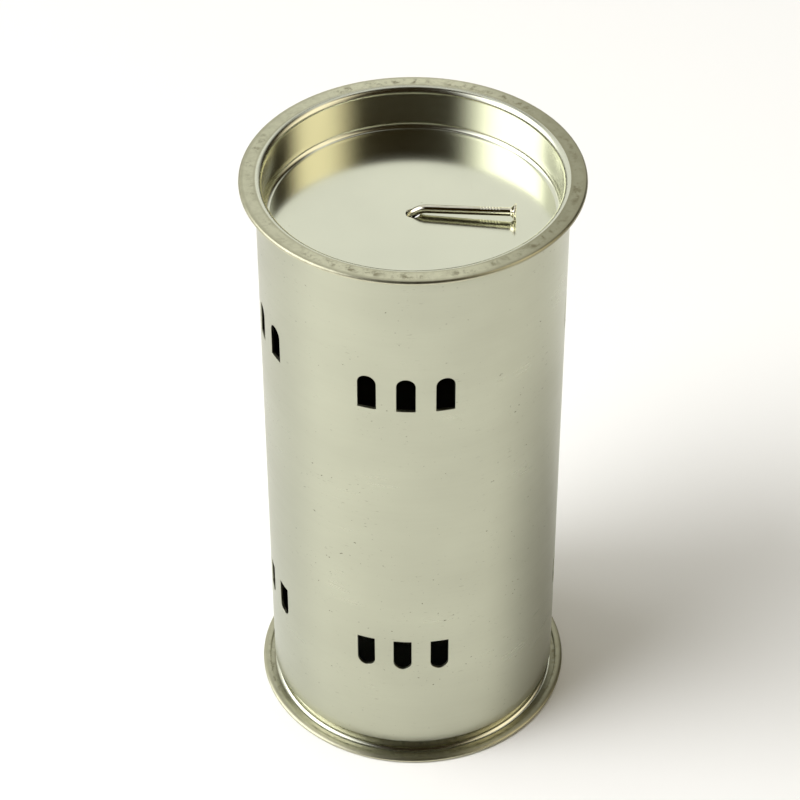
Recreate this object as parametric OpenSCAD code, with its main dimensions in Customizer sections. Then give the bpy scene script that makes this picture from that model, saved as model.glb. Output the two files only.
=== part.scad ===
// Inner fuel canister of a bee smoker: a rolled sheet shell with two rows of
// D-shaped vents, a drawn end pan pushed into each end, and a bent wire nail
// through the middle of the upper pan that serves as its pull.
// Millimetres, +Z up along the canister's axis, origin on the resting face.

/* [Overall] */
// Height over the two end flanges
overall_h = 187; // [170:0.5:210]
// Diameter of the upper flange
flange_d = 96; // [94:0.5:110]
// Diameter of the flange that the canister stands on
base_flange_d = 94.6; // [94:0.1:110]
// How far the shell's upper end stands back from the upper flange's face
top_standoff = 3.5; // [2.5:0.1:8]
// How far the shell's lower end stands above the resting face
base_standoff = 5.7; // [2.5:0.1:8]

/* [Shell] */
// Outer diameter of the shell
shell_d = 87.1; // [86:0.1:88]
// Sheet thickness of the shell
shell_t = 1.0; // [0.6:0.1:1.2]

/* [Vents] */
// Width of one vent
vent_w = 5.3; // [3:0.1:6]
// Height of one vent, from its flat edge to the top of its arch
vent_h = 11.3; // [8:0.1:16]
// Vents in one group
vents_per_group = 3; // [1:1:4]
// Angle between neighbouring vents of a group
vent_pitch = 14.5; // [10:0.5:18]
// Height of the flat upper edges of the lower vents
vent_low_z = 48.6; // [30:0.1:60]
// Height of the flat lower edges of the upper vents
vent_up_z = 138.4; // [120:0.1:145]
// Angle by which the lower row is turned against the upper row
row_shift = -1.5; // [-5:0.5:5]
// Centre angles of the vent groups, counted from the front to the right
group_angles = [-76.5, -2.5, 98.5, 190.5];

/* [Pans] */
// Sheet thickness of the pans
pan_t = 0.6; // [0.5:0.1:0.8]
// Depth of the recess
pan_depth = 13.3; // [10:0.1:20]
// Radius of the recess wall
recess_r = 41.55; // [41:0.05:41.6]
// Radius of the bend from the flange into the recess
rim_bend_r = 2.0; // [1.5:0.1:2.4]
// Radius of the corner between recess wall and floor
floor_corner_r = 1.9; // [1:0.1:3]
// Width of the hem folded back behind the flange's outer edge
hem_w = 2.2; // [1.8:0.1:2.4]
// Gap left inside the hem
hem_gap = 0.4; // [0.2:0.05:0.6]

/* [Nail] */
// Diameter of the nail's shank
nail_d = 2.4; // [2:0.1:2.8]
// Diameter of the nail's head
nail_head_d = 4.8; // [4:0.1:5]
// Length of the nail under its head, measured along its axis
nail_len = 50; // [44:1:60]
// Centre-line radius of the upper bend
nail_bend_r = 5.5; // [5:0.1:6]
// Height of the shank's axis over the recess floor where the bend ends
nail_axis_h = 1.8; // [1.6:0.1:2]
// Centre-line radius of the lower bend
nail_foot_bend_r = 2.2; // [1.8:0.1:3]
// Distance from the pan's axis to the underside of the head
nail_reach = 28.1; // [20:0.1:32]
// Rise of the shank towards its head
nail_rise_deg = 1.6; // [1.5:0.1:3]
// Direction in which the nail lies, counted from +X
nail_angle = -5.6; // [-180:0.1:180]
// Play of the nail in its hole, on each side of the slanting wire
nail_play = 0.1; // [0.05:0.01:0.3]

/* [Hidden] */
eps = 0.01;

shell_r = shell_d / 2;
shell_z0 = base_standoff;
shell_z1 = overall_h - top_standoff;
shell_h = shell_z1 - shell_z0;

wall_r = recess_r + pan_t;              // outside of the pan's wall
rim_c = recess_r + rim_bend_r;          // radius at which the flange turns flat
floor_c = recess_r - floor_corner_r;    // radius at which the floor turns flat

nail_r = nail_d / 2;
floor_z = overall_h - pan_depth;        // upper face of the upper pan's floor

// Upper bend of the nail. The wire slants through the floor, so the hole is as
// wide as the bend between its inner side at the floor's upper face and its
// outer side at the lower face, and the bend is shifted to centre it there.
bend_z = floor_z + nail_axis_h - nail_bend_r;
bend_side_in = sqrt(pow(nail_bend_r - nail_r, 2) - pow(floor_z - bend_z, 2));
bend_side_out = sqrt(pow(nail_bend_r + nail_r, 2) - pow(floor_z - pan_t - bend_z, 2));
bend_x = (bend_side_out + bend_side_in) / 2;
hole_r = (bend_side_out - bend_side_in) / 2 + nail_play;
bend_end_x = bend_x - nail_bend_r * sin(nail_rise_deg);
run_len = (nail_reach - bend_end_x) / cos(nail_rise_deg);
// Straight length between the bends, and the foot under the floor
leg_len = 0.5;
foot_len = nail_len - run_len - nail_bend_r * PI / 2
         - leg_len - nail_foot_bend_r * PI / 2;
point_len = 3.6;
// Grip marks under the head
grips = 7;
grip_first = 4.1;
grip_pitch = 0.84;

// ---- shell -----------------------------------------------------------------

// D-shaped outline: flat edge on the X axis, arch towards +Y
module vent_outline() {
    translate([-vent_w / 2, 0]) square([vent_w, vent_h - vent_w / 2]);
    translate([0, vent_h - vent_w / 2]) circle(d = vent_w, $fn = 48);
}

// One vent cutter at angle a, flat edge at height z, arch up (1) or down (-1)
module vent(a, z, up) {
    rotate([0, 0, a - 90])
        translate([shell_r - shell_t - 2, 0, z])
            rotate([90, 0, 90])
                linear_extrude(height = shell_t + 4)
                    mirror([0, up > 0 ? 0 : 1]) vent_outline();
}

module vent_row(z, up, turn) {
    for (g = group_angles)
        for (i = [0 : vents_per_group - 1])
            vent(g + turn + (i - (vents_per_group - 1) / 2) * vent_pitch, z, up);
}

module shell() {
    color([0.76, 0.77, 0.70])
    difference() {
        translate([0, 0, shell_z0]) cylinder(h = shell_h, r = shell_r, $fn = 180);
        translate([0, 0, shell_z0 - 1])
            cylinder(h = shell_h + 2, r = shell_r - shell_t, $fn = 180);
        vent_row(vent_up_z, 1, 0);
        vent_row(vent_low_z, -1, row_shift);
    }
}

// ---- pans ------------------------------------------------------------------

// Quarter ring of the bent sheet: centre c, inner and outer radius, quadrant
module bend_quarter(c, r_in, r_out, qx, qy) {
    translate(c) intersection() {
        difference() {
            circle(r = r_out, $fn = 64);
            circle(r = r_in, $fn = 64);
        }
        translate([qx > 0 ? 0 : -r_out, qy > 0 ? 0 : -r_out]) square(r_out);
    }
}

// Half section of a pan. Y = 0 is the outer face of the flange and the recess
// goes towards -Y. The hole in the floor has radius r_hole, or there is none at 0.
module pan_section(r_out, r_hole) {
    fold_r = pan_t + hem_gap / 2;
    fold_c = r_out - fold_r;
    // flange, out to its hem
    translate([rim_c, -pan_t]) square([fold_c - rim_c, pan_t]);
    // hem: the sheet turned back on itself
    bend_quarter([fold_c, -fold_r], hem_gap / 2, fold_r, 1, 1);
    bend_quarter([fold_c, -fold_r], hem_gap / 2, fold_r, 1, -1);
    translate([r_out - hem_w, -2 * fold_r]) square([hem_w - fold_r, pan_t]);
    // bend into the recess, wall, bend into the floor
    bend_quarter([rim_c, -rim_bend_r], rim_bend_r - pan_t, rim_bend_r, -1, 1);
    translate([recess_r, -pan_depth + floor_corner_r])
        square([pan_t, pan_depth - floor_corner_r - rim_bend_r]);
    bend_quarter([floor_c, -pan_depth + floor_corner_r],
                 floor_corner_r, floor_corner_r + pan_t, 1, -1);
    // floor
    translate([r_hole, -pan_depth - pan_t]) square([floor_c - r_hole, pan_t]);
}

module pan(r_out, r_hole) {
    rotate_extrude($fn = 180) pan_section(r_out, r_hole);
}

module top_pan() {
    color([0.80, 0.80, 0.72]) translate([0, 0, overall_h]) pan(flange_d / 2, hole_r);
}

module bottom_pan() {
    color([0.72, 0.72, 0.64]) mirror([0, 0, 1]) pan(base_flange_d / 2, 0);
}

// ---- nail ------------------------------------------------------------------

// Straight length of shank with grip marks on two opposite sides, along +X,
// ending in the head
module nail_run() {
    difference() {
        rotate([0, 90, 0]) cylinder(h = run_len, r = nail_r, $fn = 40);
        for (i = [0 : grips - 1], s = [-1, 1])
            translate([run_len - grip_first - i * grip_pitch, 0, s * (nail_r + 0.14)])
                rotate([90, 0, 0]) cylinder(h = nail_d, r = 0.28, center = true, $fn = 24);
    }
    // head: a short cone under a flat disc
    translate([run_len - 0.9, 0, 0]) rotate([0, 90, 0])
        cylinder(h = 0.9, r1 = nail_r, r2 = nail_head_d / 2 - 0.15, $fn = 40);
    translate([run_len, 0, 0]) rotate([0, 90, 0])
        cylinder(h = 0.6, r = nail_head_d / 2, $fn = 40);
}

// Foot of the nail along +X, ending in a four-sided point
module nail_foot() {
    rotate([0, 90, 0]) {
        cylinder(h = foot_len - point_len, r = nail_r, $fn = 40);
        translate([0, 0, foot_len - point_len]) intersection() {
            cylinder(h = point_len, r = nail_r, $fn = 40);
            cylinder(h = point_len, r1 = nail_r * 1.42, r2 = 0.12, $fn = 4);
        }
    }
}

module pull_nail() {
    color([0.82, 0.80, 0.70])
    rotate([0, 0, nail_angle]) translate([bend_x, 0, bend_z]) rotate([0, -nail_rise_deg, 0]) {
        // upper bend through the hole, and the run to the head from its upper end
        rotate([90, 0, 0]) rotate([0, 0, 90])
            rotate_extrude(angle = 90, $fn = 72)
                translate([nail_bend_r, 0]) circle(r = nail_r, $fn = 40);
        translate([0, 0, nail_bend_r]) nail_run();
        // short straight length under the floor
        translate([-nail_bend_r, 0, -leg_len]) cylinder(h = leg_len, r = nail_r, $fn = 40);
        // lower bend and foot, on the other side
        translate([-nail_bend_r - nail_foot_bend_r, 0, -leg_len]) {
            rotate([90, 0, 0]) rotate([0, 0, -90])
                rotate_extrude(angle = 90, $fn = 72)
                    translate([nail_foot_bend_r, 0]) circle(r = nail_r, $fn = 40);
            translate([0, 0, -nail_foot_bend_r]) rotate([0, 0, 180]) nail_foot();
        }
    }
}

shell();
top_pan();
bottom_pan();
pull_nail();
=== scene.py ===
"""Looks of the smoker's fuel canister: a rolled steel shell with punched vents, a drawn
pan in each end, and a bent wire nail through the upper pan as its pull.

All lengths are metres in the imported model's frame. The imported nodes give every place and
size; the four detailed pieces stand for them one to one.
"""

import math

import bmesh
import bpy
from mathutils import Matrix, Vector


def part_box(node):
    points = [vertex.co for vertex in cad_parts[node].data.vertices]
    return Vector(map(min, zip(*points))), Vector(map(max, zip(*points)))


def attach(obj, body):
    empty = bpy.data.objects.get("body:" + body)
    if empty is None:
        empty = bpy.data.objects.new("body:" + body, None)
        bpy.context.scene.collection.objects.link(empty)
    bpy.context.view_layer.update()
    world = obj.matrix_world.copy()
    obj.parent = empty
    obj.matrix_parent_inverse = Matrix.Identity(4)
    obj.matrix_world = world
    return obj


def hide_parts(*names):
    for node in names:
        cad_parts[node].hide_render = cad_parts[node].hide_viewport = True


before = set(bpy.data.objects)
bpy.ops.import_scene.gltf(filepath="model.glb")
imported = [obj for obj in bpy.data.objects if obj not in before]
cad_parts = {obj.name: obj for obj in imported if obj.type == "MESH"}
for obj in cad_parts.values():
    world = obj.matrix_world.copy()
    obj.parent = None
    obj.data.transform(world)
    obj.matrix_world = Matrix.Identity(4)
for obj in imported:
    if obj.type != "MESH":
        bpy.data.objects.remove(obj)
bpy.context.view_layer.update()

MM = 0.001
scene = bpy.context.scene

# ---- sizes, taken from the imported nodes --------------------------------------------

lo_p, hi_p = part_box("top_pan")
lo_b, hi_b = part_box("bottom_pan")
lo_s, hi_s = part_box("shell")
lo_n, hi_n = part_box("pull_nail")

TOP = hi_p[2] / MM  # upper face of the upper flange
FLANGE_R = (hi_p[0] - lo_p[0]) / 2 / MM  # 48
BASE_R = (hi_b[0] - lo_b[0]) / 2 / MM  # 47.3
SHELL_R = (hi_s[0] - lo_s[0]) / 2 / MM  # 43.55
SHELL_Z0, SHELL_Z1 = lo_s[2] / MM, hi_s[2] / MM  # 5.7 and 183.5
SHELL_T = 1.0

PAN_T = 0.6
PAN_DEPTH = 13.3
RECESS_R = 41.55
RIM_R = 2.0
CORNER_R = 1.9
HEM_W = 2.2
HEM_GAP = 0.4

VENT_W = 5.3
VENT_H = 11.3
UP_FLAT = 138.4
LOW_FLAT = 48.6
VENT_PITCH = 14.5
ROW_SHIFT = -1.5
GROUPS = (-76.5, -2.5, 98.5, 190.5)

NAIL_R = 1.2
HEAD_R = 2.4
NAIL_ANGLE = -5.6
NAIL_LEN = 50.0
NAIL_BEND = 5.5
NAIL_AXIS = 1.8  # height of the wire's axis over the floor at the end of the bend
NAIL_PLAY = 0.1
NAIL_LEG = 0.5
NAIL_FOOT_BEND = 2.2
NAIL_REACH = 28.1
NAIL_RISE = 1.6

# The bend passes the floor at a slant: it is centred in its hole, which is wide enough for it.
BEND_IN = math.sqrt((NAIL_BEND - NAIL_R) ** 2 - (NAIL_BEND - NAIL_AXIS) ** 2)
BEND_OUT = math.sqrt((NAIL_BEND + NAIL_R) ** 2 - (NAIL_BEND - NAIL_AXIS - PAN_T) ** 2)
BEND_X = (BEND_OUT + BEND_IN) / 2
HOLE_R = (BEND_OUT - BEND_IN) / 2 + NAIL_PLAY


# ---- small helpers -----------------------------------------------------------------


def new_object(name, verts, faces, material, smooth=True):
    me = bpy.data.meshes.new(name)
    me.from_pydata([(x * MM, y * MM, z * MM) for x, y, z in verts], [], faces)
    me.validate()
    bm = bmesh.new()
    bm.from_mesh(me)
    bmesh.ops.remove_doubles(bm, verts=bm.verts, dist=1e-7)
    bmesh.ops.recalc_face_normals(bm, faces=bm.faces)
    bm.to_mesh(me)
    bm.free()
    for p in me.polygons:
        p.use_smooth = smooth
    me.materials.append(material)
    ob = bpy.data.objects.new(name, me)
    scene.collection.objects.link(ob)
    return ob


def mark_sharp(ob, degrees):
    """Splits the normals at edges that turn by more than this."""
    bm = bmesh.new()
    bm.from_mesh(ob.data)
    limit = math.radians(degrees)
    for e in bm.edges:
        if len(e.link_faces) == 2 and e.calc_face_angle(0) > limit:
            e.smooth = False
    bm.to_mesh(ob.data)
    bm.free()


def arc(cx, cy, r, a0, a1, n):
    """Points of an arc, both ends included, angles in degrees."""
    return [
        (
            cx + r * math.cos(math.radians(a0 + (a1 - a0) * i / n)),
            cy + r * math.sin(math.radians(a0 + (a1 - a0) * i / n)),
        )
        for i in range(n + 1)
    ]


def straight(p, q, n, hug=0.08):
    """Points between p and q without the ends, with one close to each end, so that the
    flat keeps its own normal right up to the bend."""
    length = math.hypot(q[0] - p[0], q[1] - p[1])
    stops = [hug / length] + [i / n for i in range(1, n)] + [1 - hug / length]
    return [
        (p[0] + (q[0] - p[0]) * t, p[1] + (q[1] - p[1]) * t)
        for t in sorted(set(round(s, 6) for s in stops))
        if 0 < t < 1
    ]


def chain(*parts):
    out = []
    for part in parts:
        for p in part:
            if not out or math.hypot(p[0] - out[-1][0], p[1] - out[-1][1]) > 1e-5:
                out.append(p)
    return out


# ---- materials ---------------------------------------------------------------------


class Nodes:
    """Short hands for a node tree."""

    def __init__(self, tree):
        self.t = tree
        self.n = tree.nodes
        self.n.clear()

    def add(self, kind, **values):
        node = self.n.new(kind)
        for k, v in values.items():
            setattr(node, k, v)
        return node

    def link(self, a, b):
        self.t.links.new(a, b)

    def put(self, socket, value):
        if hasattr(value, "is_linked") or hasattr(value, "links"):
            self.link(value, socket)
        else:
            socket.default_value = value

    def math(self, op, a, b=0.0, c=0.0, clamp=False):
        node = self.add("ShaderNodeMath", operation=op, use_clamp=clamp)
        self.put(node.inputs[0], a)
        self.put(node.inputs[1], b)
        self.put(node.inputs[2], c)
        return node.outputs[0]

    def step(self, value, a, b, lo=0.0, hi=1.0):
        """Smooth step from lo to hi as value goes from a to b."""
        node = self.add("ShaderNodeMapRange", interpolation_type="SMOOTHSTEP")
        self.put(node.inputs["Value"], value)
        node.inputs["From Min"].default_value = a
        node.inputs["From Max"].default_value = b
        node.inputs["To Min"].default_value = lo
        node.inputs["To Max"].default_value = hi
        return node.outputs["Result"]

    def ramp(self, value, a, b, lo, hi):
        node = self.add("ShaderNodeMapRange", interpolation_type="LINEAR")
        self.put(node.inputs["Value"], value)
        node.inputs["From Min"].default_value = a
        node.inputs["From Max"].default_value = b
        node.inputs["To Min"].default_value = lo
        node.inputs["To Max"].default_value = hi
        return node.outputs["Result"]

    def noise(self, vector, scale, detail=2.0, rough=0.5, distortion=0.0):
        node = self.add("ShaderNodeTexNoise", noise_dimensions="3D")
        self.link(vector, node.inputs["Vector"])
        node.inputs["Scale"].default_value = scale
        node.inputs["Detail"].default_value = detail
        node.inputs["Roughness"].default_value = rough
        node.inputs["Distortion"].default_value = distortion
        return node.outputs["Fac"]

    def stretch(self, vector, sx, sy, sz, shift=(0, 0, 0)):
        node = self.add("ShaderNodeMapping")
        self.link(vector, node.inputs["Vector"])
        node.inputs["Scale"].default_value = (sx, sy, sz)
        node.inputs["Location"].default_value = shift
        return node.outputs["Vector"]

    def mix(self, fac, a, b, blend="MIX"):
        node = self.add("ShaderNodeMix", data_type="RGBA", blend_type=blend)
        self.put(node.inputs["Factor"], fac)
        for socket, value in ((node.inputs[6], a), (node.inputs[7], b)):
            if isinstance(value, tuple):
                socket.default_value = (*value, 1.0)
            else:
                self.link(value, socket)
        return node.outputs[2]

    def bump(self, height, strength, distance, normal=None):
        node = self.add("ShaderNodeBump")
        node.inputs["Strength"].default_value = strength
        node.inputs["Distance"].default_value = distance
        self.link(height, node.inputs["Height"])
        if normal is not None:
            self.link(normal, node.inputs["Normal"])
        return node.outputs["Normal"]


def metal(name):
    mat = bpy.data.materials.new(name)
    mat.use_nodes = True
    k = Nodes(mat.node_tree)
    out = k.add("ShaderNodeOutputMaterial")
    sh = k.add("ShaderNodeBsdfPrincipled")
    sh.inputs["Metallic"].default_value = 1.0
    k.link(sh.outputs["BSDF"], out.inputs["Surface"])
    coord = k.add("ShaderNodeTexCoord").outputs["Object"]
    return mat, k, sh, coord


def position(k, coord):
    sep = k.add("ShaderNodeSeparateXYZ")
    k.link(coord, sep.inputs[0])
    x, y, z = sep.outputs
    r = k.math("SQRT", k.math("ADD", k.math("MULTIPLY", x, x), k.math("MULTIPLY", y, y)))
    return x, y, z, r


def brushed(k, sh, amount, turn):
    """Stretches the highlight across brush lines that run around the axis."""
    sh.inputs["Anisotropic"].default_value = amount
    sh.inputs["Anisotropic Rotation"].default_value = turn
    tangent = k.add("ShaderNodeTangent", direction_type="RADIAL", axis="Z")
    k.link(tangent.outputs[0], sh.inputs["Tangent"])


def shell_material():
    """Satin rolled sheet: fine lines around the body, faint cloudy tone, small dark
    specks and short drag marks in rows, a heat-tinted line along the closing seam; painted
    shade low on the +X side and along the -X side; the inside painted near black as shade, the punched edges
    a little darker."""
    mat, k, sh, coord = metal("shell_satin_steel")
    x, y, z, r = position(k, coord)
    cloud = k.noise(k.stretch(coord, 1, 1, 1.6), 28, 3, 0.55)
    lines = k.noise(k.stretch(coord, 1, 1, 34), 26, 4, 0.62)
    hair = k.noise(k.stretch(coord, 1, 1, 60, (0.3, 0.1, 0.7)), 60, 2, 0.5)
    dashes = k.noise(k.stretch(coord, 1, 1, 7, (0.9, 0.2, 0.4)), 420, 1, 0.5)
    specks = k.noise(k.stretch(coord, 1, 1, 1.3, (0.5, 0.8, 0.1)), 900, 1, 0.5)
    patches = k.noise(k.stretch(coord, 1, 1, 1, (3.1, 1.8, 0.6)), 60, 2, 0.5)

    tone = k.mix(k.ramp(cloud, 0.3, 0.7, 0, 1), SHELL_A, SHELL_B)
    tone = k.mix(k.math("MULTIPLY", k.step(lines, 0.35, 0.75), 0.05), tone, (0.40, 0.40, 0.30))
    mark = k.math("MULTIPLY", k.step(dashes, 0.70, 0.80), k.step(patches, 0.45, 0.62))
    tone = k.mix(k.math("MULTIPLY", mark, 0.45), tone, (0.20, 0.18, 0.11))
    dot = k.math("MULTIPLY", k.step(specks, 0.73, 0.80), k.step(patches, 0.35, 0.6))
    tone = k.mix(k.math("MULTIPLY", dot, 0.80), tone, (0.12, 0.11, 0.07))
    # painted shade: darker low on the +X side and along the -X side, where the metal would show the floor's
    # shadow
    low = k.step(z, 0.165, 0.060)
    side_shade = k.math("MULTIPLY", k.step(x, 0.020, 0.036), k.math("MULTIPLY", low, 0.34))
    side_shade = k.math("ADD", side_shade, k.step(x, -0.025, -0.036, 0.0, 0.16))
    tone = k.mix(side_shade, tone, (0.14, 0.14, 0.115))
    # seam: a narrow straw-coloured band beside the weld line at 144.5 degrees
    a = math.radians(144.5 - 90)
    side = k.math(
        "ABSOLUTE",
        k.math("SUBTRACT", k.math("MULTIPLY", x, math.sin(a)), k.math("MULTIPLY", y, math.cos(a))),
    )
    facing = k.step(
        k.math("ADD", k.math("MULTIPLY", x, math.cos(a)), k.math("MULTIPLY", y, math.sin(a))),
        0.02,
        0.03,
    )
    tint = k.math("MULTIPLY", k.step(side, 0.0034, 0.0006), facing)
    tone = k.mix(k.math("MULTIPLY", tint, 0.5), tone, (0.42, 0.34, 0.20))
    cut = k.step(r, 0.04345, 0.04330)
    tone = k.mix(k.math("MULTIPLY", cut, 0.35), tone, (0.10, 0.085, 0.05))
    # painted shade: the inside of the can painted near black, standing in for the shade inside it
    inside_shade = k.step(r, 0.04275, 0.04262)
    inside_shade_tone = k.mix(k.ramp(cloud, 0.3, 0.7, 0, 1), (0.035, 0.030, 0.020), (0.070, 0.060, 0.040))
    tone = k.mix(inside_shade, tone, inside_shade_tone)
    k.link(tone, sh.inputs["Base Color"])

    rough = k.ramp(lines, 0.3, 0.7, 0.28, 0.31)
    rough = k.math("ADD", rough, k.ramp(cloud, 0.3, 0.7, -0.02, 0.02))
    rough = k.math("ADD", rough, k.math("MULTIPLY", mark, 0.15))
    rough = k.math("ADD", rough, k.math("MULTIPLY", inside_shade, 0.30))
    k.link(rough, sh.inputs["Roughness"])
    brushed(k, sh, 0.8, 0.25)
    height = k.math("ADD", k.math("MULTIPLY", lines, 0.6), k.math("MULTIPLY", hair, 0.4))
    n = k.bump(height, 0.02, 0.00012)
    n = k.bump(k.noise(k.stretch(coord, 1, 1, 0.5), 22, 1, 0.4), 0.14, 0.00030, n)
    k.link(n, sh.inputs["Normal"])
    return mat


def recess_material(name):
    """The drawn, polished part of a pan: bright, with a few specks and fine scratches."""
    mat, k, sh, coord = metal(name)
    cloud = k.noise(coord, 30, 3, 0.55)
    dots = k.noise(k.stretch(coord, 1, 1, 1, (7.2, 1.4, 0.3)), 1100, 1, 0.5)
    patches = k.noise(k.stretch(coord, 1, 1, 1, (1.1, 6.8, 2.6)), 70, 2, 0.5)
    scratch = k.noise(k.stretch(coord, 40, 3.5, 1, (1.7, 0.2, 0.4)), 26, 2, 0.4)
    tone = k.mix(k.ramp(cloud, 0.3, 0.7, 0, 1), PAN_A, PAN_B)
    dot = k.math("MULTIPLY", k.step(dots, 0.74, 0.82), k.step(patches, 0.40, 0.62))
    tone = k.mix(k.math("MULTIPLY", dot, 0.55), tone, (0.30, 0.27, 0.18))
    tone = k.mix(k.math("MULTIPLY", k.step(scratch, 0.70, 0.76), 0.06), tone, (0.45, 0.43, 0.33))
    k.link(tone, sh.inputs["Base Color"])
    x, y, z, r = position(k, coord)
    wall = k.step(r, 0.0405, 0.0412)
    rough = k.math("ADD", k.ramp(cloud, 0.3, 0.7, 0.14, 0.18), k.math("MULTIPLY", wall, 0.05))
    k.link(rough, sh.inputs["Roughness"])
    n = k.bump(k.noise(k.stretch(coord, 1, 1, 0.35, (0, 0, 2)), 45, 1, 0.4), 0.08, 0.0003)
    k.link(n, sh.inputs["Normal"])
    return mat


def flange_material(name, reach):
    """The flange's face, rubbed around by handling: brown stains in its middle; painted shade in a
    darker ring at the turn into the recess, along the outermost edge of radius reach and at its sides."""
    mat, k, sh, coord = metal(name)
    x, y, z, r = position(k, coord)
    reach = reach * MM
    cloud = k.noise(coord, 30, 3, 0.55)
    stain = k.noise(k.stretch(coord, 1, 1, 1, (2.2, 0.4, 0.9)), 430, 5, 0.65, 0.3)
    fine = k.noise(k.stretch(coord, 1, 1, 1, (0.2, 4.4, 0.9)), 900, 3, 0.6)
    patches = k.noise(k.stretch(coord, 1, 1, 1, (1.1, 6.8, 2.6)), 90, 2, 0.5)
    tone = k.mix(k.ramp(stain, 0.35, 0.65, 0, 1), FLANGE_A, FLANGE_B)
    side_shade_x = k.math("DIVIDE", x, 0.047)  # painted shade: darker towards +X, a lighter shade towards -X
    tone = k.mix(k.step(side_shade_x, 0.15, 0.90, 0.0, 0.72), tone, (0.24, 0.23, 0.15))
    tone = k.mix(k.step(side_shade_x, -0.35, -1.0, 0.0, 0.26), tone, (0.28, 0.28, 0.20))
    middle = k.math("MULTIPLY", k.step(r, 0.0436, 0.0446), k.step(r, reach - 0.0012, reach - 0.0022))
    brown = k.math("MULTIPLY", k.step(stain, 0.47, 0.66), k.step(patches, 0.36, 0.56))
    brown = k.math("MULTIPLY", brown, middle)
    tone = k.mix(k.math("MULTIPLY", brown, 0.65), tone, (0.20, 0.17, 0.09))
    # painted shade: a darker ring where the face turns into the recess
    ring = k.math("MULTIPLY", k.step(r, 0.0432, 0.0436), k.step(r, 0.0442, 0.0437))
    tone = k.mix(k.math("MULTIPLY", ring, 0.30), tone, (0.30, 0.28, 0.18))
    # painted shade: a darker band along the rounded outermost edge
    edge = k.step(r, reach - 0.0016, reach - 0.0009)
    tone = k.mix(k.math("MULTIPLY", edge, 0.30), tone, (0.30, 0.28, 0.18))
    k.link(tone, sh.inputs["Base Color"])
    rough = k.math("ADD", k.ramp(fine, 0.3, 0.7, 0.29, 0.37), k.math("MULTIPLY", brown, 0.12))
    rough = k.math("ADD", rough, k.ramp(cloud, 0.3, 0.7, -0.02, 0.02))
    k.link(rough, sh.inputs["Roughness"])
    brushed(k, sh, 0.25, 0.25)
    n = k.bump(k.noise(k.stretch(coord, 1, 1, 0.35, (0, 0, 2)), 45, 1, 0.4), 0.12, 0.0003)
    n = k.bump(fine, 0.18, 0.00008, n)
    k.link(n, sh.inputs["Normal"])
    return mat


def nail_material():
    """Bright plated wire with fine drawing lines and darker pits in the grip marks."""
    mat, k, sh, coord = metal("nail_bright_nickel")
    fine = k.noise(k.stretch(coord, 0.12, 1, 1), 3200, 2, 0.5)
    cloud = k.noise(coord, 260, 3, 0.6)
    pits = k.noise(k.stretch(coord, 1, 1, 1, (4, 2, 1)), 1500, 1, 0.5)
    tone = k.mix(k.ramp(cloud, 0.3, 0.7, 0, 1), (0.90, 0.87, 0.77), (0.78, 0.74, 0.58))
    tone = k.mix(k.math("MULTIPLY", k.step(pits, 0.72, 0.80), 0.6), tone, (0.22, 0.19, 0.12))
    k.link(tone, sh.inputs["Base Color"])
    k.link(k.ramp(cloud, 0.3, 0.7, 0.06, 0.13), sh.inputs["Roughness"])
    n = k.bump(fine, 0.12, 0.00003)
    n = k.bump(cloud, 0.22, 0.00014, n)
    k.link(n, sh.inputs["Normal"])
    return mat


SHELL_A, SHELL_B = (0.538, 0.548, 0.428), (0.508, 0.516, 0.404)
PAN_A, PAN_B = (0.78, 0.79, 0.66), (0.74, 0.75, 0.63)
FLANGE_A, FLANGE_B = (0.76, 0.75, 0.57), (0.64, 0.63, 0.47)

shell_mat = shell_material()
top_mat = recess_material("top_pan_bright_steel")
foot_mat = recess_material("bottom_pan_bright_steel")
top_rim_mat = flange_material("top_flange_rubbed_shaded_steel", FLANGE_R)
foot_rim_mat = flange_material("bottom_flange_rubbed_shaded_steel", BASE_R)
nail_mat = nail_material()


# ---- pans --------------------------------------------------------------------------


def lathe(name, profile, segments, material, closed=True):
    """Turns a half section (radius, height) about Z. Points on the axis become one."""
    verts, faces, rings = [], [], []
    for r, z in profile:
        if r < 1e-6:
            verts.append((0, 0, z))
            rings.append([len(verts) - 1])
        else:
            start = len(verts)
            for i in range(segments):
                a = 2 * math.pi * i / segments
                verts.append((r * math.cos(a), r * math.sin(a), z))
            rings.append(list(range(start, start + segments)))
    pairs = list(zip(rings, rings[1:]))
    if closed:
        pairs.append((rings[-1], rings[0]))
    for a, b in pairs:
        for i in range(segments):
            j = (i + 1) % segments
            if len(a) == 1 and len(b) == 1:
                continue
            if len(a) == 1:
                faces.append((a[0], b[i], b[j]))
            elif len(b) == 1:
                faces.append((a[i], b[0], a[j]))
            else:
                faces.append((a[i], b[i], b[j], a[j]))
    return new_object(name, verts, faces, material)


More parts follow.
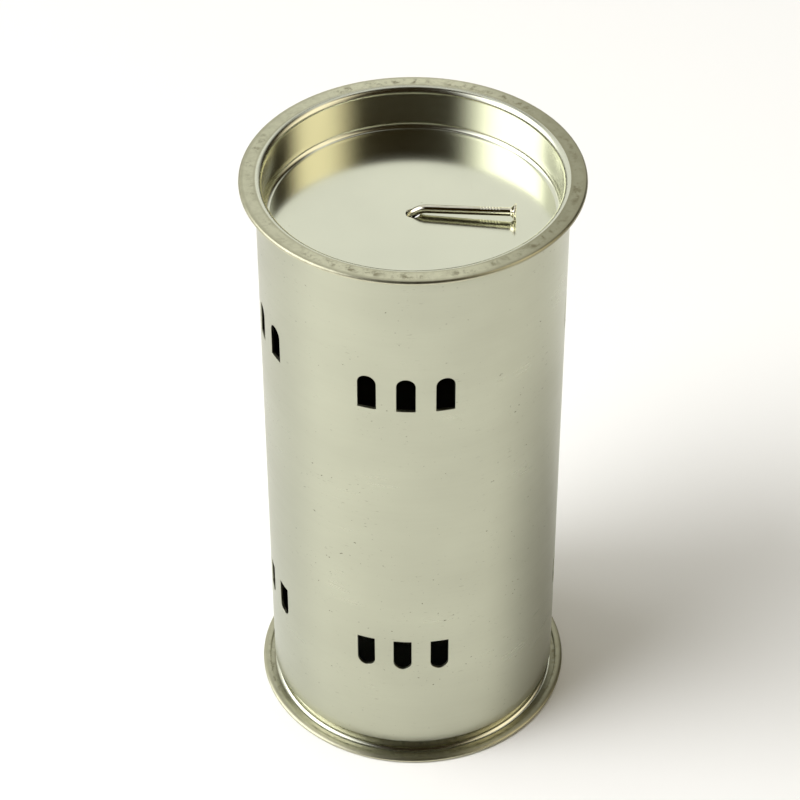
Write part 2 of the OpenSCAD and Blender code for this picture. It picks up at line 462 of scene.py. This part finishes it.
def pan_profile(r_out, r_hole):
    """Half section, height 0 at the flange's face, recess towards minus."""
    rim_c = RECESS_R + RIM_R
    wall = RECESS_R + PAN_T
    cor_c = RECESS_R - CORNER_R
    d, t = PAN_DEPTH, PAN_T
    # hem: the sheet turned back on itself behind the flange, its free edge rounded
    fold = t + HEM_GAP / 2
    fold_c, leaf = r_out - fold, r_out - HEM_W
    crown = [  # the folded leaf is slightly crowned
        (r_out - 1.9 + 1.9 * math.cos(math.radians(5 * i)), -fold - fold * math.sin(math.radians(5 * i)))
        for i in range(1, 19)
    ]
    hem = (
        arc(fold_c, -fold, fold, 90, 0, 14)
        + crown
        + [(leaf + 0.14, -2 * fold)]
        + arc(leaf + 0.12, -2 * fold + 0.12, 0.12, -90, -180, 4)
        + arc(leaf + 0.08, -2 * fold + t - 0.08, 0.08, 180, 90, 3)
        + [(leaf + 0.6, -2 * fold + t)]
        + arc(fold_c, -fold, HEM_GAP / 2, -90, 90, 10)
    )
    upper = chain(
        arc(cor_c, -d + CORNER_R, CORNER_R, -90, 0, 16),
        straight((RECESS_R, -d + CORNER_R), (RECESS_R, -RIM_R), 6),
        arc(rim_c, -RIM_R, RIM_R, 180, 90, 18),
        straight((rim_c, 0), (fold_c, 0), 4),
        hem,
        straight((fold_c, -t), (rim_c, -t), 4),
        arc(rim_c, -RIM_R, RIM_R - t, 90, 180, 14),
        straight((wall, -RIM_R), (wall, -d + CORNER_R), 6),
        arc(cor_c, -d + CORNER_R, CORNER_R + t, 0, -90, 16),
    )
    if not r_hole:
        floor = [(r, -d) for r in (0, 0.4, 2, 6, 12, 20, 28, 34, 38, cor_c - 0.1)]
        under = [(r, -d - t) for r in (cor_c - 0.1, 38, 34, 28, 20, 12, 6, 2, 0.4, 0)]
        return chain(floor, upper, under), False
    # the nail's hole: upper edge drawn in by the punch, lower edge sharper
    floor = chain(
        [(r_hole, -d - 0.16), (r_hole + 0.02, -d - 0.09), (r_hole + 0.07, -d - 0.035)],
        [(r_hole + 0.15, -d - 0.008), (r_hole + 0.25, -d), (r_hole + 0.5, -d)],
        [(r, -d) for r in (4, 6, 9, 13, 18, 24, 30, 35, 38, cor_c - 0.1)],
    )
    under = chain(
        [(r, -d - t) for r in (cor_c - 0.1, 38, 35, 30, 24, 18, 13, 9, 6, 4)],
        [(r_hole + 0.3, -d - t), (r_hole + 0.06, -d - t), (r_hole + 0.01, -d - t + 0.02)],
        [(r_hole, -d - t + 0.07)],
    )
    return chain(floor, upper, under), True


prof, closed = pan_profile(FLANGE_R, HOLE_R)
top_pan = lathe("top_pan_drawn", [(r, TOP + z) for r, z in prof], 384, top_mat, closed)
prof, closed = pan_profile(BASE_R, 0)
bottom_pan = lathe("bottom_pan_drawn", [(r, -z) for r, z in prof], 384, foot_mat, closed)


def rub_flange(ob, material, face_z):
    """Gives the flange's faces their own material."""
    ob.data.materials.append(material)
    for p in ob.data.polygons:
        c = p.center
        if math.hypot(c.x, c.y) > (RECESS_R + RIM_R - 0.15) * MM and abs(c.z - face_z * MM) < 1.9 * MM:
            p.material_index = 1


rub_flange(top_pan, top_rim_mat, TOP)
rub_flange(bottom_pan, foot_rim_mat, 0.0)


# ---- shell -------------------------------------------------------------------------

SEAM_AT = 144.5
VENT_ANGLES = [g + (i - 1) * VENT_PITCH for g in GROUPS for i in range(3)]
CELL_HALF = 5.0  # degrees either side of a vent that its patch takes
J, K = 12, 24  # grid steps across and up one vent's patch
PATCH_PAD = 1.2

CELLS_Z = {
    "low": (LOW_FLAT - VENT_H - PATCH_PAD, LOW_FLAT + PATCH_PAD),
    "up": (UP_FLAT - PATCH_PAD, UP_FLAT + VENT_H + PATCH_PAD),
}


def around(angle, r, z):
    a = math.radians(angle)
    return (r * math.sin(a), -r * math.cos(a), z)


def vent_loop():
    """Outline of a vent and its outward normals, J + K + J + K points, from the lower
    left corner, going right. Flat edge at 0, arch up."""
    w, h = VENT_W / 2, VENT_H - VENT_W / 2
    pts, nor = [], []
    for i in range(J):  # flat edge
        pts.append((-w + 2 * w * i / J, 0.0))
        nor.append((-1.0, -1.0) if i == 0 else (0.0, -1.0))
    straight_n = K * 3 // 4
    for i in range(straight_n):  # right side
        pts.append((w, h * i / straight_n))
        nor.append((1.0, -1.0) if i == 0 else (1.0, 0.0))
    arch_n = J + 2 * (K - straight_n)
    for i in range(arch_n):
        a = math.pi * i / arch_n
        pts.append((w * math.cos(a), h + w * math.sin(a)))
        nor.append((math.cos(a), math.sin(a)))
    for i in range(straight_n):  # left side, downwards
        pts.append((-w, h - h * i / straight_n))
        nor.append((-1.0, 0.0))
    return pts, nor


def build_shell():
    # columns: angles at which the grid has a line, as seen in the upper row
    centres = sorted(a % 360 for a in VENT_ANGLES)
    columns, cell_start = [], {}
    for n, c in enumerate(centres):
        nxt = centres[(n + 1) % len(centres)] + (360 if n == len(centres) - 1 else 0)
        cell_start[len(columns)] = c
        columns += [c - CELL_HALF + 2 * CELL_HALF * j / J for j in range(J)]
        a0, a1 = c + CELL_HALF, nxt - CELL_HALF
        if a0 < SEAM_AT < a1:  # finer columns over the seam bead
            bead = [SEAM_AT + d / SHELL_R * 57.29578 for d in (-1.6, -0.9, -0.6, -0.42, -0.25, -0.1, 0.1, 0.25, 0.42, 0.6, 0.9, 1.6)]
            n0 = max(1, round((bead[0] - a0) / 1.25))
            n1 = max(1, round((a1 - bead[-1]) / 1.25))
            columns += [a0 + (bead[0] - a0) * i / n0 for i in range(n0)]
            columns += bead
            columns += [bead[-1] + (a1 - bead[-1]) * i / n1 for i in range(1, n1)]
        else:
            count = max(1, round((a1 - a0) / 1.25))
            columns += [a0 + (a1 - a0) * i / count for i in range(count)]
    total = len(columns)

    # rows
    (l0, l1), (u0, u1) = CELLS_Z["low"], CELLS_Z["up"]
    rows = []
    rows += [SHELL_Z0 + 0.15 + (l0 - SHELL_Z0 - 0.15) * i / 8 for i in range(8)]
    low_row = len(rows)
    rows += [l0 + (l1 - l0) * i / K for i in range(K)]
    rows += [l1 + (u0 - l1) * i / 22 for i in range(22)]
    up_row = len(rows)
    rows += [u0 + (u1 - u0) * i / K for i in range(K)]
    rows += [u1 + (SHELL_Z1 - 0.15 - u1) * i / 8 for i in range(9)]

    def shear(z):
        t = min(1.0, max(0.0, (u0 - z) / (u0 - l1)))
        return ROW_SHIFT * t

    def bead(angle):
        d = (angle - SEAM_AT) / 57.29578 * SHELL_R
        return 0.07 * math.exp(-((d / 0.38) ** 2)) - 0.03 * math.exp(-(((abs(d) - 0.85) / 0.3) ** 2))

    verts, faces = [], []

    def vert(p):
        verts.append(p)
        return len(verts) - 1

    loop, normals = vent_loop()
    size = len(loop)

    # outer and inner skins
    skins = {}
    for skin, radius in (("out", SHELL_R), ("in", SHELL_R - SHELL_T)):
        grid = []
        for z in rows:
            line = []
            for a in columns:
                r = radius + (bead(a) if skin == "out" else 0.5 * bead(a))
                line.append(vert(around(a + shear(z), r, z)))
            grid.append(line)
        skins[skin] = grid
        holes = set()
        for c0 in cell_start:
            for row0 in (low_row, up_row):
                for i in range(K):
                    for j in range(J):
                        holes.add((row0 + i, c0 + j))
        for i in range(len(rows) - 1):
            for j in range(total):
                if (i, j) in holes:
                    continue
                q = (grid[i][j], grid[i][(j + 1) % total], grid[i + 1][(j + 1) % total], grid[i + 1][j])
                faces.append(q if skin == "out" else q[::-1])

    # vents: rings from the patch's border to the punched edge, through the sheet, and back
    roll = 0.16  # rounding where the punch drew the sheet in
    burr = 0.06
    for c0, centre in cell_start.items():
        for row0, flat_z, up in ((low_row, LOW_FLAT, -1), (up_row, UP_FLAT, 1)):
            a_c = centre + shear(flat_z)
            z_mid = rows[row0]

            def border(skin):
                g = skins[skin]
                col = [(c0 + j) % total for j in range(J + 1)]
                out = [g[row0][col[j]] for j in range(J)]
                out += [g[row0 + i][col[J]] for i in range(K)]
                out += [g[row0 + K][col[J - j]] for j in range(J)]
                out += [g[row0 + K - i][col[0]] for i in range(K)]
                return out

            def outline(offset, radius):
                ring = []
                for (t, h), (nx, ny) in zip(loop, normals):
                    t2, h2 = t + nx * offset, h + ny * offset
                    ang = a_c + math.degrees(math.asin(t2 / radius))
                    ring.append((ang, radius, flat_z + up * h2))
                if up < 0:  # arch down: keep the same sense of travel as the border
                    # mirrored top to bottom, so start from the corner that is lower left
                    ring = ring[::-1]
                    # index of the border's first point in the mirrored loop
                    shift = size - 1 - (J + K * 3 // 4 + (K - K * 3 // 4) + J)
                    k0 = start_low
                    ring = ring[k0:] + ring[:k0]
                return ring

            # where the reversed loop meets the lower left corner of the border
            start_low = size - 1 - (2 * J + K + 0) if up < 0 else 0
            # choose the start that lies nearest to the border's first corner
            if up < 0:
                best, start_low = 1e9, 0
                ref_a = columns[c0] + shear(rows[row0])
                ref_z = rows[row0]
                probe = []
                for (t, h) in loop[::-1]:
                    probe.append((a_c + math.degrees(math.asin(t / SHELL_R)), flat_z - h))
                # the arch point at 45 degrees to the lower left
                for i, (pa, pz) in enumerate(probe):
                    d = abs(math.degrees(math.atan2(pz - (flat_z - VENT_H + VENT_W / 2), (pa - a_c) / 57.29578 * SHELL_R)) + 135)
                    if pz < flat_z - VENT_H + VENT_W / 2 and d < best:
                        best, start_low = d, i

            def add_ring(ring):
                return [vert(around(*p)) for p in ring]

            def lerp_ring(skin, ring, t):
                """Between the patch's border and a ring, on the skin's own radius."""
                radius = SHELL_R if skin == "out" else SHELL_R - SHELL_T
                out = []
                col = [c0 + j for j in range(J + 1)]

                def col_angle(j):
                    if j < total:
                        return columns[j]
                    return columns[j % total] + 360

                marks = [(col_angle(col[j]), rows[row0]) for j in range(J)]
                marks += [(col_angle(col[J]), rows[row0 + i]) for i in range(K)]
                marks += [(col_angle(col[J - j]), rows[row0 + K]) for j in range(J)]
                marks += [(col_angle(col[0]), rows[row0 + K - i]) for i in range(K)]
                for (ba, bz), (ra, _, rz) in zip(marks, ring):
                    a_b = ba + shear(bz)
                    out.append(vert(around(a_b + (ra - a_b) * t, radius, bz + (rz - bz) * t)))
                return out

            ri = SHELL_R - SHELL_T
            far_out = outline(0.30, SHELL_R)
            far_in = outline(0.25, ri)
            rings = [border("out")]
            rings.append(lerp_ring("out", far_out, 0.5))
            rings.append(add_ring(far_out))
            for deg in (0, 22.5, 45, 67.5, 90):
                s, c = math.sin(math.radians(deg)), math.cos(math.radians(deg))
                rings.append(add_ring(outline(roll * (1 - s), SHELL_R - roll * (1 - c))))
            rings.append(add_ring(outline(0.0, SHELL_R - 0.45)))
            rings.append(add_ring(outline(0.0, ri + burr)))
            rings.append(add_ring(outline(0.02, ri + 0.01)))
            rings.append(add_ring(outline(burr, ri)))
            rings.append(add_ring(far_in))
            rings.append(lerp_ring("in", far_in, 0.5))
            rings.append(border("in"))
            for a, b in zip(rings, rings[1:]):
                for i in range(size):
                    j = (i + 1) % size
                    faces.append((a[i], a[j], b[j], b[i]))

    # rounded cut edges at both ends
    for end, sgn in ((0, -1), (len(rows) - 1, 1)):
        z_end = SHELL_Z0 if sgn < 0 else SHELL_Z1
        ring_out = skins["out"][end]
        ring_in = skins["in"][end]
        rings = [ring_out]
        b = 0.15
        for deg in (30, 60, 90):
            s, c = math.sin(math.radians(deg)), math.cos(math.radians(deg))
            rings.append([vert(around(a + shear(z_end), SHELL_R + bead(a) - b * (1 - c), z_end - sgn * b * (1 - s))) for a in columns])
        for deg in (90, 60, 30):
            s, c = math.sin(math.radians(deg)), math.cos(math.radians(deg))
            rings.append([vert(around(a + shear(z_end), SHELL_R - SHELL_T + 0.5 * bead(a) + b * (1 - c), z_end - sgn * b * (1 - s))) for a in columns])
        rings.append(ring_in)
        for a, b2 in zip(rings, rings[1:]):
            for j in range(total):
                k2 = (j + 1) % total
                faces.append((a[j], a[k2], b2[k2], b2[j]))
    return new_object("shell_rolled_sheet", verts, faces, shell_mat)


shell = build_shell()
mark_sharp(shell, 50)


# ---- nail --------------------------------------------------------------------------


def build_nail():
    floor_z = TOP - PAN_DEPTH
    bend_z = floor_z + NAIL_AXIS - NAIL_BEND
    rise = math.radians(NAIL_RISE)
    run = (NAIL_REACH - BEND_X + NAIL_BEND * math.sin(rise)) / math.cos(rise)
    foot = NAIL_LEN - run - NAIL_BEND * math.pi / 2 - NAIL_LEG - NAIL_FOOT_BEND * math.pi / 2
    point = 3.6
    seg = 64

    # stations, from the upper bend's centre and before the nail's tilt: centre, direction
    # and the rule for the radius
    st = []
    foot_x, foot_z = -NAIL_BEND - NAIL_FOOT_BEND, -NAIL_LEG - NAIL_FOOT_BEND
    tip_x = foot_x - foot
    for i in range(19):
        s = point * i / 18
        st.append((tip_x + s, foot_z, 1, 0, "point", s))
    body = foot - point
    for i in range(1, 10):
        st.append((tip_x + point + body * i / 10, foot_z, 1, 0, "round", 0))
    for i in range(0, 17):
        a = math.radians(90 * i / 16)
        x, z = NAIL_FOOT_BEND * math.sin(a), -NAIL_LEG - NAIL_FOOT_BEND * math.cos(a)
        st.append((foot_x + x, z, math.cos(a), math.sin(a), "round", 0))
    st.append((-NAIL_BEND, -NAIL_LEG / 2, 0, 1, "round", 0))
    for i in range(0, 41):
        a = math.radians(90 * i / 40)
        x, z = -NAIL_BEND * math.cos(a), NAIL_BEND * math.sin(a)
        st.append((x, z, math.sin(a), math.cos(a), "bend", i / 40))
    grip_lo, grip_hi = run - 4.1 - 6 * 0.84 - 0.7, run - 4.1 + 0.7
    stops = [i * 0.9 for i in range(1, int(grip_lo / 0.9))]
    s = grip_lo
    while s < grip_hi:
        stops.append(s)
        s += 0.07
    stops += [grip_hi + 0.4, grip_hi + 0.9, run - 1.25, run - 1.0]
    for s in stops:
        st.append((s, NAIL_BEND, 1, 0, "grip", run - s))
    # head: short flare, flat disc with rounded rim, faintly domed face
    head = [(-0.9, 1.22), (-0.78, 1.31), (-0.6, 1.5), (-0.4, 1.74), (-0.2, 1.99), (-0.06, 2.2)]
    head += [(0.0, 2.30), (0.05, 2.37), (0.13, 2.4), (0.42, 2.4), (0.51, 2.37), (0.57, 2.30), (0.592, 2.18)]
    head += [(0.598, 1.9), (0.6, 1.3), (0.6, 0.6), (0.6, 0.2)]
    for s, r in head:
        st.append((run + s, NAIL_BEND, 1, 0, "head", r))
    cr, sr = math.cos(rise), math.sin(rise)
    ends = [(tip_x - 0.05, foot_z), (run + 0.6, NAIL_BEND)]
    ends = [(BEND_X + x * cr - z * sr, bend_z + x * sr + z * cr) for x, z in ends]
    st = [
        (BEND_X + x * cr - z * sr, bend_z + x * sr + z * cr, dx * cr - dz * sr, dx * sr + dz * cr, kind, val)
        for x, z, dx, dz, kind, val in st
    ]

    turn = math.radians(NAIL_ANGLE)
    ct, sn = math.cos(turn), math.sin(turn)
    verts, faces, rings = [], [], []

    def place(x, y, z):
        verts.append((x * ct - y * sn, x * sn + y * ct, z))
        return len(verts) - 1

    for x, z, ux, uz, kind, val in st:
        nx, nz = -uz, ux  # in the bend's plane, to the upper side of the run
        ring = []
        for i in range(seg):
            f = 2 * math.pi * i / seg
            c, s = math.cos(f), math.sin(f)
            if kind == "point":
                big = 0.12 + (NAIL_R * 1.42 - 0.12) * val / point
                half = big * math.sqrt(0.5)
                q = max(abs(math.cos(f - math.pi / 4)), abs(math.sin(f - math.pi / 4)))
                r = min(NAIL_R, half / q)
                ring.append((x + nx * r * c, r * s, z + nz * r * c))
                continue
            r = NAIL_R
            if kind == "head":
                r = val
            if kind == "grip":
                # seven marks bitten into the upper and lower side, with raised flanks
                cut = 0.0
                for g in range(7):
                    d = (val - 4.1 - g * 0.84) / 0.24
                    cut += 0.20 * math.exp(-d * d) - 0.03 * math.exp(-((abs(d) - 1.6) ** 2) / 0.3)
                # flat across: the same height over the width of the mark
                hgt = NAIL_R * abs(c)
                lim = NAIL_R - cut
                if cut > 0 and hgt > lim:
                    r_c = lim * (1 if c > 0 else -1)
                    ring.append((x + nx * r_c, NAIL_R * s, z + nz * r_c))
                    continue
                if cut < 0:
                    r = NAIL_R - cut * max(0.0, abs(c) - 0.8) / 0.2
                    r = min(r, NAIL_R + 0.03)
            if kind == "bend":
                # the wire flattens a little on the outside of the bend
                w = math.sin(math.pi * val)
                r = NAIL_R - 0.05 * w * max(0.0, c)
            ring.append((x + nx * r * c, r * s, z + nz * r * c))
        rings.append([place(*p) for p in ring])
    for a, b in zip(rings, rings[1:]):
        for i in range(seg):
            j = (i + 1) % seg
            faces.append((a[i], a[j], b[j], b[i]))
    tip = place(ends[0][0], 0, ends[0][1])
    cap = place(ends[1][0], 0, ends[1][1])
    for i in range(seg):
        j = (i + 1) % seg
        faces.append((rings[0][j], rings[0][i], tip))
        faces.append((rings[-1][i], rings[-1][j], cap))
    return new_object("pull_nail_bent_wire", verts, faces, nail_mat)


nail = build_nail()
mark_sharp(nail, 38)

# ---- what rides on what ------------------------------------------------------------

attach(shell, "tube")
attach(top_pan, "lid")
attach(bottom_pan, "foot")
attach(nail, "pull")
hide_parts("shell")
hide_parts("top_pan")
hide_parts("bottom_pan")
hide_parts("pull_nail")

# ---- floor, light, camera ----------------------------------------------------------


def floor_piece():
    mat = bpy.data.materials.new("floor_pale")
    mat.use_nodes = True
    k = Nodes(mat.node_tree)
    out = k.add("ShaderNodeOutputMaterial")
    sh = k.add("ShaderNodeBsdfPrincipled")
    k.link(sh.outputs["BSDF"], out.inputs["Surface"])
    sh.inputs["Base Color"].default_value = (0.93, 0.93, 0.93, 1)
    sh.inputs["Roughness"].default_value = 0.9
    sh.inputs["Specular IOR Level"].default_value = 0.1
    me = bpy.data.meshes.new("floor")
    n, r = 96, 4.0
    pts = [(r * math.cos(2 * math.pi * i / n), r * math.sin(2 * math.pi * i / n), -0.00005) for i in range(n)]
    me.from_pydata(pts, [], [tuple(range(n))])
    me.materials.append(mat)
    ob = bpy.data.objects.new("floor", me)
    scene.collection.objects.link(ob)
    return ob


floor_piece()


def studio():
    """One soft overhead light, a large diffuser on each side and one behind the object;
    the side the camera stands on is left dark, as in a studio. Seen directly, the
    surroundings are plain pale."""
    world = bpy.data.worlds.new("studio")
    scene.world = world
    world.use_nodes = True
    k = Nodes(world.node_tree)
    out = k.add("ShaderNodeOutputWorld")
    direction = k.add("ShaderNodeTexCoord").outputs["Generated"]
    sep = k.add("ShaderNodeSeparateXYZ")
    k.link(direction, sep.inputs[0])
    x, y, z = sep.outputs
    az = k.math("MULTIPLY", k.math("ARCTAN2", x, k.math("MULTIPLY", y, -1.0)), 57.29578)
    el = k.math("MULTIPLY", k.math("ARCSINE", z), 57.29578)
    back = k.math("ABSOLUTE", az)

    def window(v, a0, a1, b0, b1):
        return k.math("MULTIPLY", k.step(v, a0, a1), k.step(v, b0, b1, 1.0, 0.0))

    def lamp(colour, *masks):
        m = masks[0]
        for other in masks[1:]:
            m = k.math("MULTIPLY", m, other)
        node = k.add("ShaderNodeVectorMath", operation="SCALE")
        node.inputs[0].default_value = colour
        k.link(m, node.inputs["Scale"])
        return node.outputs[0]

    sides_el = window(el, 2, 14, 52, 66)
    rear = k.step(y, 0.0, 0.12)
    behind = k.math("MAXIMUM", k.step(az, 132, 158), k.step(az, -108, -124))
    parts = [
        lamp((1.41, 1.26, 0.95), window(az, 38, 72, 88, 119), sides_el),
        lamp((2.7, 2.7, 2.67), window(az, -128, -108, -74, -29), sides_el),
        lamp((0.86, 0.87, 0.82), behind, window(el, 4, 12, 44, 52)),
        lamp((0.70, 0.71, 0.69), rear, window(el, 50, 58, 80, 88)),
    ]
    total = None
    for p in parts:
        if total is None:
            total = p
        else:
            node = k.add("ShaderNodeVectorMath", operation="ADD")
            k.link(total, node.inputs[0])
            k.link(p, node.inputs[1])
            total = node.outputs[0]
    node = k.add("ShaderNodeVectorMath", operation="ADD")
    k.link(total, node.inputs[0])
    node.inputs[1].default_value = (0.016, 0.010, 0.002)
    light = k.add("ShaderNodeBackground")
    k.link(node.outputs[0], light.inputs["Color"])
    plain = k.add("ShaderNodeBackground")
    plain.inputs["Color"].default_value = (1, 1, 1, 1)
    path = k.add("ShaderNodeLightPath")
    mix = k.add("ShaderNodeMixShader")
    k.link(path.outputs["Is Camera Ray"], mix.inputs[0])
    k.link(light.outputs[0], mix.inputs[1])
    k.link(plain.outputs[0], mix.inputs[2])
    k.link(mix.outputs[0], out.inputs["Surface"])
    world.cycles.sampling_method = "MANUAL"
    world.cycles.sample_map_resolution = 1024


studio()


def overhead():
    """A wide diffuser above, set so that it lifts the pale floor to white but leaves no
    image of itself in the polished metal."""
    lamp = bpy.data.lights.new("overhead", "AREA")
    lamp.shape = "DISK"
    lamp.size = 1.1
    lamp.energy = OVERHEAD_W
    ob = bpy.data.objects.new("overhead", lamp)
    scene.collection.objects.link(ob)
    ob.location = (-1.05, -0.45, 1.5)
    ob.rotation_euler = (math.radians(-12), math.radians(-28), 0)
    ob.visible_glossy = False
    ob.visible_camera = False


OVERHEAD_W = 24.0
overhead()


def camera():
    cam = bpy.data.cameras.new("camera")
    cam.sensor_width = 36
    cam.lens = 2786.3 / 800 * 36
    cam.clip_start, cam.clip_end = 0.02, 20
    cam.dof.use_dof = False
    ob = bpy.data.objects.new("camera", cam)
    scene.collection.objects.link(ob)
    el, dist, aim = math.radians(40.61), 17.029 * 0.048, 2.197 * 0.048
    yaw, roll = math.radians(0.265), math.radians(0.02)
    place = Vector((0, -dist * math.cos(el), aim + dist * math.sin(el)))
    ahead = (Vector((0, 0, aim)) - place).normalized()
    right = Vector((1, 0, 0))
    up = right.cross(ahead)
    c, s = math.cos(yaw), math.sin(yaw)
    turn = Matrix(((c, 0, s), (0, 1, 0), (-s, 0, c)))
    c, s = math.cos(roll), math.sin(roll)
    bank = Matrix(((c, -s, 0), (s, c, 0), (0, 0, 1)))
    m = bank @ turn @ Matrix((right, -up, ahead))
    ob.matrix_world = (
        Matrix.Translation(place) @ Matrix((Vector(m[0]), -Vector(m[1]), -Vector(m[2]))).transposed().to_4x4()
    )
    scene.camera = ob


camera()
scene.view_settings.view_transform = "Standard"
scene.view_settings.look = "None"
